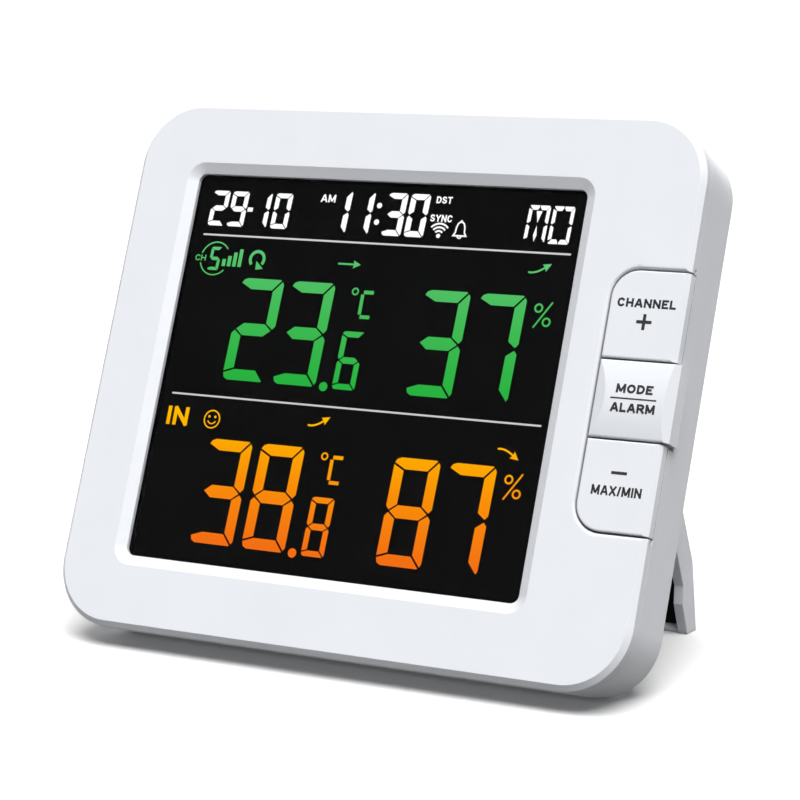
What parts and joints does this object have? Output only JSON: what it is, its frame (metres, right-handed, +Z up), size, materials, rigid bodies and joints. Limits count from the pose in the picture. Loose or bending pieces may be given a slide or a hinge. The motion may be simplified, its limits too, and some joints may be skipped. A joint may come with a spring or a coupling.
{
  "type": "maximum minimum thermometer",
  "caption": "Desk wireless thermometer and hygrometer with a black colour display, side keys, a battery bay and a rear fold-out stand.",
  "frame": {"origin": "on the surface it stands on, under the middle of its overall box", "axes": "+X to the right seen from the front, +Y to the rear, +Z up; the case leans back about X"},
  "size_m": [0.1456, 0.083, 0.1222],
  "materials": {
    "shell_white": "satin white moulded ABS",
    "key_white": "satin white moulded ABS",
    "lens_clear": "smoked clear acrylic, polished",
    "tape_black": "black adhesive foam tape",
    "display_black": "black negative colour display",
    "guide_clear": "milky light guide",
    "led_yellow": "phosphor-topped light source",
    "bracket_white": "reflective white moulding",
    "strip_rubber": "silicone contact strip",
    "board_green": "solder-masked circuit board",
    "chip_black": "black epoxy",
    "can_steel": "tinned steel",
    "copper_wire": "enamelled copper wire",
    "switch_black": "switch housing",
    "contact_nickel": "nickel-plated steel",
    "cell_wrap": "plain shrink-wrapped cell",
    "screw_steel": "zinc-plated steel",
    "pad_black": "black foam lining",
    "ink_dark": "printed key legends",
    "art_white": "lit white display artwork",
    "art_green": "lit green display artwork",
    "art_amber": "lit amber display artwork"
  },
  "bodies": {
    "case": {"front_shell": "shell_white", "rear_shell": "shell_white", "display_lens": "lens_clear", "lens_tape": "tape_black", "lcd_glass": "display_black", "light_guide": "guide_clear", "backlight_leds": "led_yellow", "lcd_bracket": "bracket_white", "contact_strip": "strip_rubber", "main_board": "board_green", "controller_chip": "chip_black", "radio_module": "can_steel", "antenna_wire": "copper_wire", "buzzer": "chip_black", "climate_sensor": "board_green", "power_inlet": "can_steel", "tact_switches": "switch_black", "battery_contacts": "contact_nickel", "battery_springs": "contact_nickel", "battery_cells": "cell_wrap", "case_screws": "screw_steel", "board_screws": "screw_steel"},
    "stand": {"stand": "shell_white", "stand_pad": "pad_black", "hinge_pins": "screw_steel"},
    "battery_door": {"battery_door": "shell_white"},
    "key_up": {"key_up": "key_white"},
    "key_mode": {"key_mode": "key_white"},
    "key_down": {"key_down": "key_white"}
  },
  "joints": [
    {"name": "stand_hinge", "type": "hinge", "parent": "case", "child": "stand", "pos_m": [-0.00055, 0.00979, 0.07144], "axis": [1, 0, 0], "range_deg": [-45.3, 0]},
    {"name": "key_up_press", "type": "slide", "parent": "case", "child": "key_up", "axis": [0, 0.932, -0.3624], "range_m": [0, 0.0004], "stiffness_N_per_m": 800, "springref_m": -0.0005},
    {"name": "key_mode_press", "type": "slide", "parent": "case", "child": "key_mode", "axis": [0, 0.932, -0.3624], "range_m": [0, 0.0004], "stiffness_N_per_m": 800, "springref_m": -0.0005},
    {"name": "key_down_press", "type": "slide", "parent": "case", "child": "key_down", "axis": [0, 0.932, -0.3624], "range_m": [0, 0.0004], "stiffness_N_per_m": 800, "springref_m": -0.0005},
    {"name": "battery_door_slide", "type": "slide", "parent": "case", "child": "battery_door", "axis": [0, 0.3624, 0.932], "range_m": [0, 0.036]}
  ]
}
